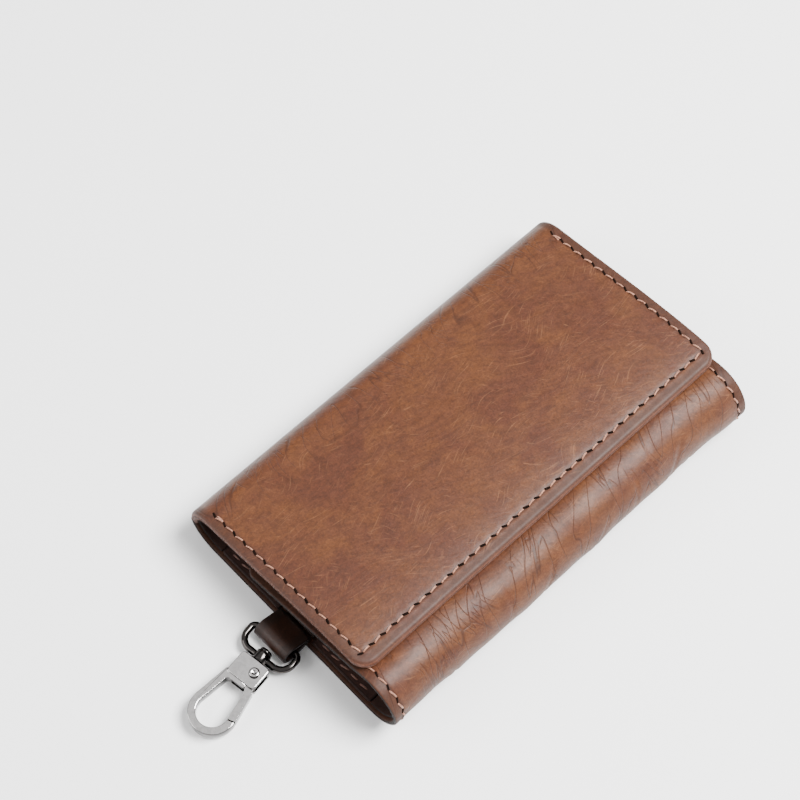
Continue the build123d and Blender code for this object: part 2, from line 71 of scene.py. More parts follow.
MM = 0.001
HALF_LENGTH = 57.5
OUTER = 1.3
BACK_TOP = 2.2
COVER = {"side": 1, "radius": 8.0, "turn": math.radians(172.9), "flat": 27.0, "edge_x": -24.5}
WING = {"side": -1, "radius": 9.25, "turn": math.radians(193.0), "flat": 25.75, "edge_x": 16.0}
PITCH = 3.45
SEAM_END = 2.6
SEAM_EDGE = 3.4
SEAM_Y = HALF_LENGTH - SEAM_END
SNAPS = [(-10.5, -35.0), (-10.5, 35.0)]
FAR = 9.0  # a distance to a rim or seam at which neither shows
BEAD_RADIUS = 0.95


def bend_end(flap):
    """How far along the section the bend stops and the flat panel begins."""
    return flap["flat"] + flap["radius"] * flap["turn"]


def free_edge(flap):
    """How far along the section the panel's free edge is."""
    t, r = flap["turn"], flap["radius"]
    x = flap["side"] * (flap["flat"] + r * math.sin(t))
    return bend_end(flap) + abs((flap["edge_x"] - x) / math.cos(t))


def section(flap, s):
    """Points of the outer face and its outward normals along the section, as (x, z) pairs."""
    side, r, turn, flat = flap["side"], flap["radius"], flap["turn"], flap["flat"]
    t = np.clip((s - flat) / r, 0, turn)
    before = np.minimum(s, flat)
    after = np.maximum(s - bend_end(flap), 0)
    x = side * (before + r * np.sin(t)) + side * np.cos(t) * after
    z = r - r * np.cos(t) + np.sin(t) * after
    return x, z, side * np.sin(t), -np.cos(t)


def smooth(a, b, v):
    t = np.clip((v - a) / (b - a), 0, 1)
    return t * t * (3 - 2 * t)


def waves(s, y, seed, lengths, heights):
    """A smooth random swell, from plane waves of the given lengths in fixed random directions."""
    turned = np.random.default_rng(seed)
    total = np.zeros_like(s + y)
    for length, height in zip(lengths, heights):
        for _ in range(3):
            a, b = turned.uniform(0, 2 * math.pi, 2)
            along = s * math.cos(a) + y * math.sin(a)
            total = total + height / 2 * np.sin(along * 2 * math.pi / length + b)
    return total


def crease(s, y, start, end, bow, width):
    """How deep in a crease each point is: 1 on a bowed line from start to end, 0 away from it."""
    p, q = np.array(start, float), np.array(end, float)
    d = q - p
    length = np.hypot(*d)
    d = d / length
    along = (s - p[0]) * d[0] + (y - p[1]) * d[1]
    share = along / length
    off = -(s - p[0]) * d[1] + (y - p[1]) * d[0] - bow * 4 * share * (1 - share)
    fade = smooth(0, 0.3, share) * smooth(1, 0.6, share)
    return fade * np.exp(-((off / width) ** 2))


def cover_lift(s, y):
    """The closed cover is a little full: it swells outwards and drops again towards its free edge."""
    a = np.clip((s - bend_end(COVER)) / 56.0, 0, 1)
    swell = 1.5 * np.sin(math.pi * a**1.35) * (1 - 0.25 * smooth(30, 57, np.abs(y)))
    return swell - 0.8 * np.clip((s - free_edge(COVER) + 10) / 10, 0, 1) ** 2


WING_CREASES = [
    ((33, 12), (50, 3), 1.2, 0.5, 0.30),
    ((36, 22), (52, 20), -1.0, 0.45, 0.26),
    ((34, -4), (47, -14), 0.8, 0.45, 0.26),
    ((38, -18), (54, -22), -1.4, 0.5, 0.30),
    ((32, -30), (50, -40), 1.5, 0.6, 0.34),
    ((42, -27), (58, -32), 0.9, 0.4, 0.22),
    ((31, 33), (45, 41), 1.2, 0.55, 0.28),
    ((40, 45), (54, 38), -0.8, 0.45, 0.2),
    ((30, 4), (40, 22), 1.0, 0.6, 0.24),
    ((29, -44), (42, -34), -1.2, 0.5, 0.26),
]


def wing_lift(s, y):
    """The wing's fold is worked soft: it swells unevenly, and creases run slantwise over it."""
    on_fold = smooth(27, 36, s) * smooth(66, 52, s)
    lift = on_fold * waves(s, y, 3, (42, 21, 11), (0.34, 0.16, 0.07))
    lift = lift + 0.9 * smooth(34, 57.5, y) * smooth(32, 46, s) * smooth(62, 52, s)
    for start, end, bow, width, depth in WING_CREASES:
        line = crease(s, y, start, end, bow, width)
        swell = crease(s, y, start, end, bow, width * 3.2)
        lift = lift - depth * line + 0.45 * depth * swell
    return lift


def seam_lines(flap, end_from, with_edge=True):
    """The seam's corners as (s, y): down one end, along the free edge and up the other end."""
    last = free_edge(flap)
    edge = last - SEAM_EDGE
    if with_edge:
        return [[(end_from, -SEAM_Y), (edge, -SEAM_Y), (edge, SEAM_Y), (end_from, SEAM_Y)]]
    return [[(end_from, y), (last - 5.0, y)] for y in (-SEAM_Y, SEAM_Y)]


def seam_distance(s, y, lines):
    """Distance to the nearest seam, and how far along it that is."""
    nearest = np.full(np.broadcast(s, y).shape, 1e9)
    place = np.zeros_like(nearest)
    for line in lines:
        run = 0.0
        for (s0, y0), (s1, y1) in zip(line, line[1:]):
            ds, dy = s1 - s0, y1 - y0
            length = math.hypot(ds, dy)
            t = np.clip(((s - s0) * ds + (y - y0) * dy) / length**2, 0, 1)
            d = np.hypot(s - s0 - t * ds, y - y0 - t * dy)
            place = np.where(d < nearest, run + t * length, place)
            nearest = np.minimum(nearest, d)
            run += length
    return nearest, place


# Grid lines near a sheet's edges, close together where the edge is rounded and where the seam runs
EDGE_STEPS = [
    0, 0.03, 0.1, 0.22, 0.38, 0.6, 0.85, 1.15, 1.5, 1.85, 2.1,
    2.3, 2.5, 2.7, 2.9, 3.1, 3.3, 3.5, 3.8, 4.2, 4.7, 5.3,
]


def steps_between(a, b, step):
    count = max(int(round((b - a) / step)), 1)
    return list(np.linspace(a, b, count + 1))


def new_mesh(name, points, faces, material):
    mesh = bpy.data.meshes.new(name)
    mesh.from_pydata([tuple(p) for p in np.asarray(points) * MM], [], faces)
    mesh.update()
    mesh.shade_smooth()
    mesh.materials.append(material)
    obj = bpy.data.objects.new(name, mesh)
    bpy.context.scene.collection.objects.link(obj)
    return obj


def store(obj, name, values, kind="FLOAT"):
    made = obj.data.attributes.new(name, kind, "POINT")
    key = "vector" if kind == "FLOAT_VECTOR" else "value"
    made.data.foreach_set(key, np.asarray(values, np.float32).ravel())


def store_lay(obj, lay, rim, seam=None, bent=None):
    """What the leather's pattern reads: its place, its distance to rim and seam, and how bent it is."""
    count = len(obj.data.vertices)
    store(obj, "lay", lay, "FLOAT_VECTOR")
    store(obj, "rim", rim)
    store(obj, "seam", np.full(count, FAR) if seam is None else seam)
    store(obj, "bent", np.zeros(count) if bent is None else bent)


def rounded_drop(radius, edge):
    """How far a rounded edge lies below its face, at a distance from the edge."""
    return radius - np.sqrt(np.maximum(radius**2 - np.maximum(radius - edge, 0) ** 2, 0))


def sheet(name, flap, s_from, s_to, depths, material, inset=0.0, corner=0.0, lift=None, seams=(), step=0.6,
          rounding=0.5, free_start=False, extra=None, bead=0.0):
    """A sheet of leather with rounded free edges, as an outer and an inner face on one grid.

    corner rounds the free corners at s_to; a corner of None leaves s_to open, where the next sheet goes on.
    """
    half = HALF_LENGTH - inset
    free_end = corner is not None
    radius = corner or 0.01
    near = [d for d in EDGE_STEPS if d < (s_to - s_from) / 2]
    inner_to = s_to - near[-1] if free_end else s_to - 0.02
    inner_from = s_from + near[-1] if free_start else s_from + 0.02
    rows = steps_between(inner_from, inner_to, step)
    rows = ([s_from + d for d in near[:-1]] if free_start else [s_from]) + rows
    rows = rows + ([s_to - d for d in near[:-1][::-1]] if free_end else [s_to])
    rows = np.array(sorted(set(rows)))
    cols = [-half + d for d in EDGE_STEPS]
    cols += steps_between(-half + EDGE_STEPS[-1], half - EDGE_STEPS[-1], step)
    cols = np.array(sorted(set(cols + [half - d for d in EDGE_STEPS]))) / half
    narrow = half - radius + np.sqrt(np.maximum(radius**2 - np.maximum(rows - (s_to - radius), 0) ** 2, 0))
    y_half = np.where(rows > s_to - radius, narrow, half) if free_end else np.full(len(rows), half)
    s = np.repeat(rows[:, None], len(cols), 1)
    y = y_half[:, None] * cols[None, :]
    qy = np.abs(y) - (half - radius)
    qs = s - (s_to - radius) if free_end else np.full_like(s, -1e3)
    edge = radius - (np.hypot(np.maximum(qs, 0), np.maximum(qy, 0)) + np.minimum(np.maximum(qs, qy), 0))
    if free_start:
        edge = np.minimum(edge, s - s_from)
    edge = np.maximum(edge, 0)
    low, high = depths
    r = min(rounding, (high - low) * 0.46)
    drop = rounded_drop(r, edge)
    turned = bead * smooth(BEAD_RADIUS, 0.75, edge)
    if bead:
        drop = 0.9 * rounded_drop(BEAD_RADIUS, edge) / BEAD_RADIUS
    x, z, nx, nz = section(flap, s)
    raised = lift(s, y) if lift else np.zeros_like(s)
    groove = np.zeros_like(s)
    seam = np.full_like(s, FAR)
    if seams:
        seam, place = seam_distance(s, y, seams)
        groove = -0.11 * np.exp(-((seam / 0.5) ** 2)) + 0.05 * np.exp(-((seam / 1.3) ** 2)) * np.cos(
            place * 2 * math.pi / PITCH
        )
    if extra:
        raised = raised + extra(s, y)
    outer_off = -(low + drop) + raised + groove
    inner_off = -(high + turned - drop) + raised - groove * 0.6
    outer = np.stack([x + nx * outer_off, y, z + nz * outer_off], -1).reshape(-1, 3)
    inner = np.stack([x + nx * inner_off, y, z + nz * inner_off], -1).reshape(-1, 3)
    n, m = s.shape
    index = np.arange(n * m).reshape(n, m)
    a, b, c, d = index[:-1, :-1], index[1:, :-1], index[1:, 1:], index[:-1, 1:]
    top = np.stack([a, b, c, d], -1).reshape(-1, 4)
    if flap["side"] > 0:
        top = top[:, ::-1]
    under = top[:, ::-1] + n * m
    walls = []
    loops = [list(index[:, 0]), list(index[::-1, -1])]
    if free_end:
        loops.append(list(index[-1, :]))
    if free_start:
        loops.append(list(index[0, ::-1]))
    for line in loops:
        p, q = np.array(line[:-1]), np.array(line[1:])
        wall = np.stack([p, p + n * m, q + n * m, q], -1)
        walls.append(wall if flap["side"] > 0 else wall[:, ::-1])
    faces = np.concatenate([top, under] + walls).tolist()
    obj = new_mesh(name, np.concatenate([outer, inner]), faces, material)
    lay = np.stack([flap["side"] * s, y, np.zeros_like(s)], -1).reshape(-1, 3)
    lay_in = lay + np.array([0, 0, high - low])
    bent = smooth(flap["flat"] - 6, flap["flat"] + 8, s) * smooth(bend_end(flap) + 12, bend_end(flap) - 4, s)
    rim, seam, bent = (np.tile(value.ravel(), 2) for value in (edge, seam, bent))
    store_lay(obj, np.concatenate([lay, lay_in]), rim, seam, bent)
    return obj


def along_section(flap, points, depth=0.0, lift=None):
    """Places, directions along the section and outward normals for (s, y) points on a sheet."""
    s, y = np.array(points, float).T
    x, z, nx, nz = section(flap, s)
    off = -depth + (lift(s, y) if lift else 0)
    place = np.stack([x + nx * off, y, z + nz * off], -1)
    normal = np.stack([nx, np.zeros_like(nx), nz], -1)
    t = np.stack([-nz * flap["side"], np.zeros_like(nx), nx * flap["side"]], -1)
    return place, t, normal


# Materials
class Net:
    """Short ways to add nodes to a tree: each gives its first output, or the node if asked."""

    def __init__(self, tree):
        self.tree = tree

    def add(self, kind, inputs=None, out=0, whole=False, **props):
        node = self.tree.nodes.new(kind)
        for key, value in props.items():
            setattr(node, key, value)
        self.fill(node.inputs, inputs or {})
        return node if whole else node.outputs[out]

    def fill(self, sockets, values):
        """Gives each named socket a link from another node's output, or a plain value."""
        for key, value in values.items():
            if isinstance(value, bpy.types.NodeSocket):
                self.tree.links.new(value, sockets[key])
            else:
                sockets[key].default_value = value

    def dress(self, shader, node):
        """Takes a shader's colour, roughness and bump from a pattern's node, with heights in millimetres."""
        bump = self.add("ShaderNodeBump", {"Height": node.outputs["Height"], "Distance": MM, "Strength": 1.0})
        base = {"Base Color": node.outputs["Colour"], "Roughness": node.outputs["Roughness"], "Normal": bump}
        self.fill(shader.inputs, base)

    def math(self, op, a, b=0.0, c=0.0, clamp=False):
        return self.add("ShaderNodeMath", {0: a, 1: b, 2: c}, operation=op, use_clamp=clamp)

    def noise(self, place, scale, detail=3.0, rough=0.55, warp=0.0, out=0):
        return self.add(
            "ShaderNodeTexNoise",
            {"Vector": place, "Scale": scale, "Detail": detail, "Roughness": rough, "Distortion": warp}, out,
        )

    def scaled(self, place, size, turn=(0, 0, 0), move=(0, 0, 0)):
        """Turns a place and then scales it, so that a pattern can be stretched in any direction."""
        size = tuple(1 / v for v in size)
        values = {"Vector": place, "Scale": size, "Rotation": turn, "Location": move}
        return self.add("ShaderNodeMapping", values, vector_type="TEXTURE")

    def span(self, value, low, high, to_low=0.0, to_high=1.0):
        values = {0: value, 1: low, 2: high, 3: to_low, 4: to_high}
        return self.add("ShaderNodeMapRange", values, interpolation_type="SMOOTHSTEP")

    def mix(self, share, a, b, blend="MIX"):
        return self.add("ShaderNodeMix", {0: share, 6: a, 7: b}, 2, data_type="RGBA", blend_type=blend)

    def cells(self, place, scale, feature="F1", randomness=1.0):
        values = {"Vector": place, "Scale": scale, "Randomness": randomness}
        return self.add("ShaderNodeTexVoronoi", values, feature=feature)


def tone(r, g, b):
    """A colour given as 0 to 255 screen values."""
    def one(v):
        v = v / 255
        return v / 12.92 if v <= 0.04045 else ((v + 0.055) / 1.055) ** 2.4
    return (one(r), one(g), one(b), 1.0)


def group(name, inputs, outputs):
    """A shader node group with its sockets, and the nodes at its two ends."""
    tree = bpy.data.node_groups.new(name, "ShaderNodeTree")
    for label, kind, value in inputs:
        socket = tree.interface.new_socket(name=label, in_out="INPUT", socket_type=kind)
        if value is not None:
            socket.default_value = value
    for label, kind in outputs:
        tree.interface.new_socket(name=label, in_out="OUTPUT", socket_type=kind)
    net = Net(tree)
    return net, tree.nodes.new("NodeGroupInput").outputs, tree.nodes.new("NodeGroupOutput").inputs


def leather_group():
    """Waxed leather: mottled tone, brushed streaks, pale hairline scuffs, wrinkles, grain and pores; shade is
    painted into the wrinkles' creases, along the seam and on the hem.
    """
    net, given, made = group(
        "waxed_leather",
        [("Place", "NodeSocketVector", None)]
        + [(label, "NodeSocketFloat", value) for label, value in (("Rim", 5.0), ("Seam", 5.0), ("Bent", 0.0))]
        + [(label, "NodeSocketColor", None) for label in ("Dark", "Middle", "Light", "Rubbed", "Edge")]
        + [(label, "NodeSocketFloat", 1.0) for label in ("Scuffs", "Grain")]
        + [("Rough", "NodeSocketFloat", 0.4)],
        [("Colour", "NodeSocketColor"), ("Roughness", "NodeSocketFloat"), ("Height", "NodeSocketFloat")],
    )
    place = given["Place"]

    def layer(scale, detail, size=None, turn=0.0, move=0.0, warp=0.0, source=place):
        if size is not None:
            source = net.scaled(source, size, (0, 0, math.radians(turn)), (move, move, 0))
        return net.noise(source, scale, detail, 0.6, warp)

    def ridge(value, width):
        off = net.math("ABSOLUTE", net.math("SUBTRACT", value, 0.5))
        return net.span(off, 0.0, width, 1.0, 0.0)

    drift = net.add("ShaderNodeTexNoise", {"Vector": place, "Scale": 0.045, "Detail": 1.0}, 1)
    drift = {0: drift, 1: (14.0, 14.0, 0.0), 2: place}
    drift = net.add("ShaderNodeVectorMath", drift, operation="MULTIPLY_ADD")
    cloud = layer(0.05, 2.0, warp=1.0)
    patch = layer(0.2, 3.0, (1, 0.7, 1), 20, 31)
    brushed = layer(1.0, 3.0, (0.85, 0.22, 0.5), 24, 5, 0.3, drift)
    brushed_b = layer(1.0, 2.0, (0.6, 0.16, 0.5), -20, 50, 0.3, drift)
    fine = layer(1.3, 3.0)
    colour = net.mix(net.span(cloud, 0.36, 0.66), given["Middle"], given["Light"])
    colour = net.mix(net.span(patch, 0.35, 0.7, 0.0, 0.55), colour, given["Middle"])
    colour = net.mix(net.span(brushed, 0.42, 0.7, 0.0, 0.34), colour, given["Dark"])
    colour = net.mix(net.span(brushed_b, 0.5, 0.74, 0.0, 0.26), colour, given["Light"])
    colour = net.mix(net.span(fine, 0.3, 0.75, 0.0, 0.42), colour, given["Dark"])
    # long fine pale scuffs in three fanned directions, gently curved
    hair = None
    fans = (((3.2, 0.13, 1), -16, 0.6), ((2.6, 0.11, 1), 21, 0.62), ((3.6, 0.2, 1), 52, 0.63))
    for size, turn, low in fans:
        line = net.span(layer(1.0, 1.5, size, turn, turn * 3.0, 0.0, drift), low, low + 0.1)
        here = net.span(layer(0.09, 1.0, (1, 1, 1), 0, turn * 3), 0.4, 0.6)
        line = net.math("MULTIPLY", line, here)
        hair = line if hair is None else net.math("MAXIMUM", hair, line)
    hair = net.math("MULTIPLY", hair, given["Scuffs"])
    colour = net.mix(net.math("MULTIPLY", hair, 0.34), colour, given["Rubbed"])
    # where the leather is bent it is paler and warmer in streaks, and finely wrinkled
    pulled = layer(1.0, 3.0, (0.26, 0.11, 0.5), 16, 9, 0.7)
    pulled = net.math("MULTIPLY", net.span(pulled, 0.44, 0.68), given["Bent"])
    colour = net.mix(net.math("MULTIPLY", pulled, 0.42), colour, given["Light"])
    wrinkle_and_shade = ridge(layer(0.2, 0.8, (0.2, 1.1, 1), 17, 14, 0.15, drift), 0.016)
    wrinkle_and_shade_b = ridge(layer(0.42, 0.8, (0.16, 1.0, 1), -14, 77, 0.15, drift), 0.02)
    where = net.span(layer(0.085, 1.0, (1, 1, 1), 0, 63), 0.46, 0.6)
    wrinkle_and_shade = net.math("MAXIMUM", wrinkle_and_shade, net.math("MULTIPLY", wrinkle_and_shade_b, where))
    wrinkle_and_shade = net.math("MULTIPLY", wrinkle_and_shade, given["Bent"])
    # painted shade: the wrinkles' creases are painted darker; the same wrinkles also dent the surface as bump
    colour = net.mix(net.math("MULTIPLY", wrinkle_and_shade, 0.62), colour, given["Dark"])
    # the hem outside the seam is painted darker, as shade where it slopes down away from the light; the cut
    # edge has its own colour
    hem = net.span(given["Rim"], 1.6, 3.0, 1.0, 0.0)
    hem = net.math("MULTIPLY", hem, net.span(cloud, 0.3, 0.6, 0.6, 0.9))
    colour = net.mix(net.math("MULTIPLY", hem, 0.72), colour, given["Dark"])
    # painted shade in the seam's groove, darkest on the seam line
    colour = net.mix(net.span(given["Seam"], 0.15, 0.8, 0.6, 0.0), colour, given["Dark"])
    colour = net.mix(net.span(given["Rim"], 0.0, 0.35, 0.9, 0.0), colour, given["Edge"])
    shade = net.span(layer(0.45, 3.0), 0.25, 0.75, 0.86, 1.12)
    shade = net.math("MULTIPLY", shade, net.span(layer(2.3, 2.0), 0.3, 0.7, 0.86, 1.13))
    shade = net.add("ShaderNodeCombineColor", {0: shade, 1: shade, 2: shade})
    colour = net.mix(1.0, colour, shade, "MULTIPLY")
    net.tree.links.new(colour, made["Colour"])
    rough = net.math("MULTIPLY_ADD", patch, 0.2, net.math("SUBTRACT", given["Rough"], 0.1))
    rough = net.math("MULTIPLY_ADD", given["Bent"], -0.05, rough)
    rough = net.math("MULTIPLY_ADD", hem, 0.16, rough)
    net.tree.links.new(net.math("MULTIPLY_ADD", fine, 0.08, rough), made["Roughness"])
    # heights in millimetres
    pores = net.span(net.cells(place, 1.5), 0.0, 0.3, -1.0, 0.0)
    height = net.math("MULTIPLY", fine, 0.05)
    height = net.math("MULTIPLY_ADD", pores, 0.01, height)
    height = net.math("MULTIPLY_ADD", brushed, 0.05, height)
    height = net.math("MULTIPLY_ADD", layer(0.3, 2.0, (1, 0.5, 1), 30), 0.09, height)
    height = net.math("MULTIPLY", height, given["Grain"])
    height = net.math("MULTIPLY_ADD", wrinkle_and_shade, -0.07, height)
    net.tree.links.new(height, made["Height"])
    return net.tree


def new_material(name):
    material = bpy.data.materials.new(name)
    material.use_nodes = True
    net = Net(material.node_tree)
    shader = material.node_tree.nodes["Principled BSDF"]
    return material, net, shader


def leather(name, shared, tones, edge, scuffs=1.0, grain=1.0, rough=0.46, coat=0.05, specular=0.26):
    """A leather. tones gives its dark, middle, light and rubbed colours."""
    material, net, shader = new_material(name)
    values = dict(zip(("Dark", "Middle", "Light", "Rubbed"), tones))
    values.update({"Edge": edge, "Scuffs": scuffs, "Grain": grain, "Rough": rough})
    values["Place"] = net.add("ShaderNodeAttribute", out=1, attribute_name="lay")
    for label in ("Rim", "Seam", "Bent"):
        values[label] = net.add("ShaderNodeAttribute", out=2, attribute_name=label.lower())
    net.dress(shader, net.add("ShaderNodeGroup", values, whole=True, node_tree=shared))
    net.fill(shader.inputs, {"Specular IOR Level": specular, "Coat Weight": coat, "Coat Roughness": 0.3})
    return material


def metal_group():
    """Plated metal: cloudy polish and tarnish, hairline scratches in a worn colour, and painted shade on its
    walls and rounded corners.
    """
    net, given, made = group(
        "plated_metal",
        [("Base", "NodeSocketColor", tone(150, 148, 146)), ("Worn", "NodeSocketColor", tone(205, 202, 198)),
         ("Deep", "NodeSocketColor", tone(40, 38, 37)), ("Side", "NodeSocketFloat", 0.0),
         ("Polish", "NodeSocketFloat", 0.16)],
        [("Colour", "NodeSocketColor"), ("Roughness", "NodeSocketFloat"), ("Height", "NodeSocketFloat")],
    )
    place = net.add("ShaderNodeTexCoord", out="Object")
    cloud = net.noise(place, 260.0, 4.0, 0.6)
    line_a = net.noise(net.scaled(place, (40, 900, 900), turn=(0, 0, 0.5)), 4.0, 3.0, 0.6)
    line_b = net.noise(net.scaled(place, (900, 60, 900), turn=(0, 0, -0.8)), 4.0, 3.0, 0.6)
    scratch = net.math("MAXIMUM", net.span(line_a, 0.62, 0.7), net.span(line_b, 0.63, 0.7))
    tarnish = net.noise(place, 700.0, 5.0, 0.65, 0.6)
    dull = net.mix(0.5, given["Base"], tone(88, 82, 76))
    colour = net.mix(net.span(tarnish, 0.35, 0.7, 0.0, 0.35), given["Base"], dull)
    colour = net.mix(net.math("MULTIPLY", scratch, 0.25), colour, given["Worn"])
    # painted shade: walls and rounded corners are mixed towards a dark colour
    colour = net.mix(given["Side"], colour, given["Deep"])
    net.tree.links.new(colour, made["Colour"])
    rough = net.math("MULTIPLY_ADD", cloud, 0.12, given["Polish"])
    rough = net.math("MULTIPLY_ADD", scratch, 0.1, rough)
    net.tree.links.new(net.math("SUBTRACT", rough, 0.05), made["Roughness"])
    height = net.math("MULTIPLY_ADD", scratch, -0.0016, net.math("MULTIPLY", cloud, 0.006))
    net.tree.links.new(height, made["Height"])
    return net.tree


def metal(name, shared, base, worn, polish):
    material, net, shader = new_material(name)
    values = {"Base": base, "Worn": worn, "Polish": polish}
    # the 'side' attribute gives how much shade is painted on the metal
    values["Side"] = net.add("ShaderNodeAttribute", out=2, attribute_name="side")
    net.dress(shader, net.add("ShaderNodeGroup", values, whole=True, node_tree=shared))
    shader.inputs["Metallic"].default_value = 1.0
    return material


def thread(name, pale, dark):
    material, net, shader = new_material(name)
    place = net.add("ShaderNodeTexCoord", out="Object")
    twist = net.noise(place, 2600.0, 2.0, 0.5)
    length = net.noise(place, 240.0, 3.0, 0.5)
    colour = net.mix(net.span(twist, 0.3, 0.7), dark, pale)
    colour = net.mix(net.span(length, 0.3, 0.7, 0.0, 0.4), colour, dark)
    bump = net.add("ShaderNodeBump", {"Height": twist, "Distance": 0.00006, "Strength": 1.0})
    net.fill(shader.inputs, {"Base Color": colour, "Normal": bump, "Roughness": 0.62, "Sheen Weight": 0.2})
    return material


# Needle holes are drawn as dark pieces sunk into the seam: painted shade, standing in for the shadow inside
# each hole.
def needle_hole_shade_material():
    material, net, shader = new_material("needle_hole")
    place = net.add("ShaderNodeTexCoord", out="Object")
    cloud = net.noise(place, 900.0, 3.0)
    colour = net.mix(net.span(cloud, 0.3, 0.7), tone(12, 7, 5), tone(24, 13, 9))
    net.fill(shader.inputs, {"Base Color": colour, "Roughness": 0.9, "Specular IOR Level": 0.03})
    return material


waxed = leather_group()
OUTER_TONES = (tone(44, 23, 14), tone(72, 39, 25), tone(86, 50, 27), tone(122, 82, 55))
LINING_TONES = (tone(30, 16, 12), tone(54, 30, 23), tone(64, 38, 28), tone(94, 62, 46))
INSERT_TONES = (tone(26, 14, 11), tone(46, 25, 20), tone(54, 31, 24), tone(80, 51, 39))
STRAP_TONES = (tone(22, 12, 8), tone(44, 24, 16), tone(56, 32, 20), tone(84, 54, 37))
cover_leather = leather("cover_leather", waxed, OUTER_TONES, tone(84, 47, 31))
outer_skin = leather("outer_leather", waxed, OUTER_TONES, tone(14, 8, 7), rough=0.5, coat=0.02, specular=0.2)
lining_skin = leather("lining_leather", waxed, LINING_TONES, tone(12, 7, 6), 0.5, 0.9, 0.6, 0.0, 0.2)
insert_skin = leather("insert_leather", waxed, INSERT_TONES, tone(12, 7, 6), 0.4, 0.7, 0.56, 0.0, 0.2)
strap_skin = leather("strap_leather", waxed, STRAP_TONES, tone(16, 9, 7), 0.5, 0.8, 0.42, 0.1)
plated = metal_group()
gunmetal = metal("gunmetal", plated, tone(228, 225, 224), tone(240, 238, 236), 0.07)
ring_steel = metal("ring_steel", plated, tone(66, 63, 62), tone(150, 146, 143), 0.09)
nickel = metal("plate_nickel_finish", plated, tone(166, 163, 160), tone(214, 211, 208), 0.1)
clip_steel = metal("clip_steel_finish", plated, tone(128, 124, 121), tone(190, 186, 182), 0.16)
snap_steel = metal("snap_steel", plated, tone(118, 113, 109), tone(190, 186, 182), 0.12)
dark_steel = metal("dark_steel", plated, tone(96, 92, 88), tone(160, 156, 150), 0.26)
outer_thread = thread("outer_thread", tone(168, 118, 92), tone(112, 66, 47))
inner_thread = thread("inner_thread", tone(110, 70, 54), tone(74, 44, 34))
hole_painted_shade = needle_hole_shade_material()


# Stitches
def stitch_tree(name):
    """Threads that arch from hole to hole, one on each point, turned by the point's own axes."""
    tree = bpy.data.node_groups.new(name, "GeometryNodeTree")
    face = tree.interface
    face.new_socket(name="Geometry", in_out="INPUT", socket_type="NodeSocketGeometry")
    kinds = dict.fromkeys(("Length", "Rise", "Dive", "Thread", "Slant"), "NodeSocketFloat")
    kinds.update({"Seed": "NodeSocketInt", "Material": "NodeSocketMaterial"})
    for label, kind in kinds.items():
        face.new_socket(name=label, in_out="INPUT", socket_type=kind)
    face.new_socket(name="Geometry", in_out="OUTPUT", socket_type="NodeSocketGeometry")
    net = Net(tree)
    given = tree.nodes.new("NodeGroupInput").outputs
    made = tree.nodes.new("NodeGroupOutput").inputs
    half = net.math("MULTIPLY", given["Length"], 0.5)
    back = net.math("MULTIPLY", half, -1.0)
    down = net.math("MULTIPLY", given["Dive"], -1.0)
    start = net.add("ShaderNodeCombineXYZ", {0: back, 2: down})
    end = net.add("ShaderNodeCombineXYZ", {0: half, 2: down})
    top = net.add("ShaderNodeCombineXYZ", {2: given["Rise"]})
    arch = {"Resolution": 12, "Start": start, "Middle": top, "End": end}
    arch = net.add("GeometryNodeCurveQuadraticBezier", arch)
    round_ = net.add("GeometryNodeCurvePrimitiveCircle", {"Resolution": 8, "Radius": given["Thread"]})
    body = net.add("GeometryNodeCurveToMesh", {"Curve": arch, "Profile Curve": round_, "Fill Caps": True})
    body = net.add("GeometryNodeSetShadeSmooth", {"Geometry": body, "Shade Smooth": True})
    up = net.add("GeometryNodeInputNamedAttribute", {"Name": "up"}, data_type="FLOAT_VECTOR")
    way = net.add("GeometryNodeInputNamedAttribute", {"Name": "way"}, data_type="FLOAT_VECTOR")
    turned = net.add("FunctionNodeAxesToRotation", {0: up, 1: way}, primary_axis="Z", secondary_axis="X")
    seed = given["Seed"]
    wobble = net.add("FunctionNodeRandomValue", {2: -0.09, 3: 0.09, "Seed": seed}, 1, data_type="FLOAT")
    spin = net.add("ShaderNodeCombineXYZ", {2: net.math("ADD", given["Slant"], wobble)})
    spin = net.add("FunctionNodeEulerToRotation", {0: spin})
    turned = net.add("FunctionNodeRotateRotation", {0: turned, 1: spin}, rotation_space="LOCAL")
    size = net.add("FunctionNodeRandomValue", {2: 0.93, 3: 1.07, "Seed": seed}, 1, data_type="FLOAT")
    points = {"Points": given["Geometry"], "Instance": body, "Rotation": turned, "Scale": size}
    points = net.add("GeometryNodeInstanceOnPoints", points)
    real = net.add("GeometryNodeRealizeInstances", {"Geometry": points})
    dyed = net.add("GeometryNodeSetMaterial", {"Geometry": real, "Material": given["Material"]})
    net.tree.links.new(dyed, made[0])
    return tree


def baked(obj):
    """Makes what an object's modifiers give into its own plain mesh."""
    evaluated = obj.evaluated_get(bpy.context.evaluated_depsgraph_get())
    plain = bpy.data.meshes.new_from_object(evaluated)
    obj.modifiers.clear()
    obj.data = plain
    return plain


def grown(name, tree, places, up, way, values):
    """Runs a tree on points that carry their own axes, and keeps the result as a plain mesh."""
    mesh = bpy.data.meshes.new(name)
    mesh.from_pydata([tuple(p) for p in places * MM], [], [])
    obj = bpy.data.objects.new(name, mesh)
    bpy.context.scene.collection.objects.link(obj)
    store(obj, "up", up, "FLOAT_VECTOR")
    store(obj, "way", way, "FLOAT_VECTOR")
    modifier = obj.modifiers.new("grow", "NODES")
    modifier.node_group = tree
    for item in tree.interface.items_tree:
        if item.in_out == "INPUT" and item.name in values:
            modifier[item.identifier] = values[item.name]
    baked(obj).name = name
    return obj


stitches = stitch_tree("stitches")


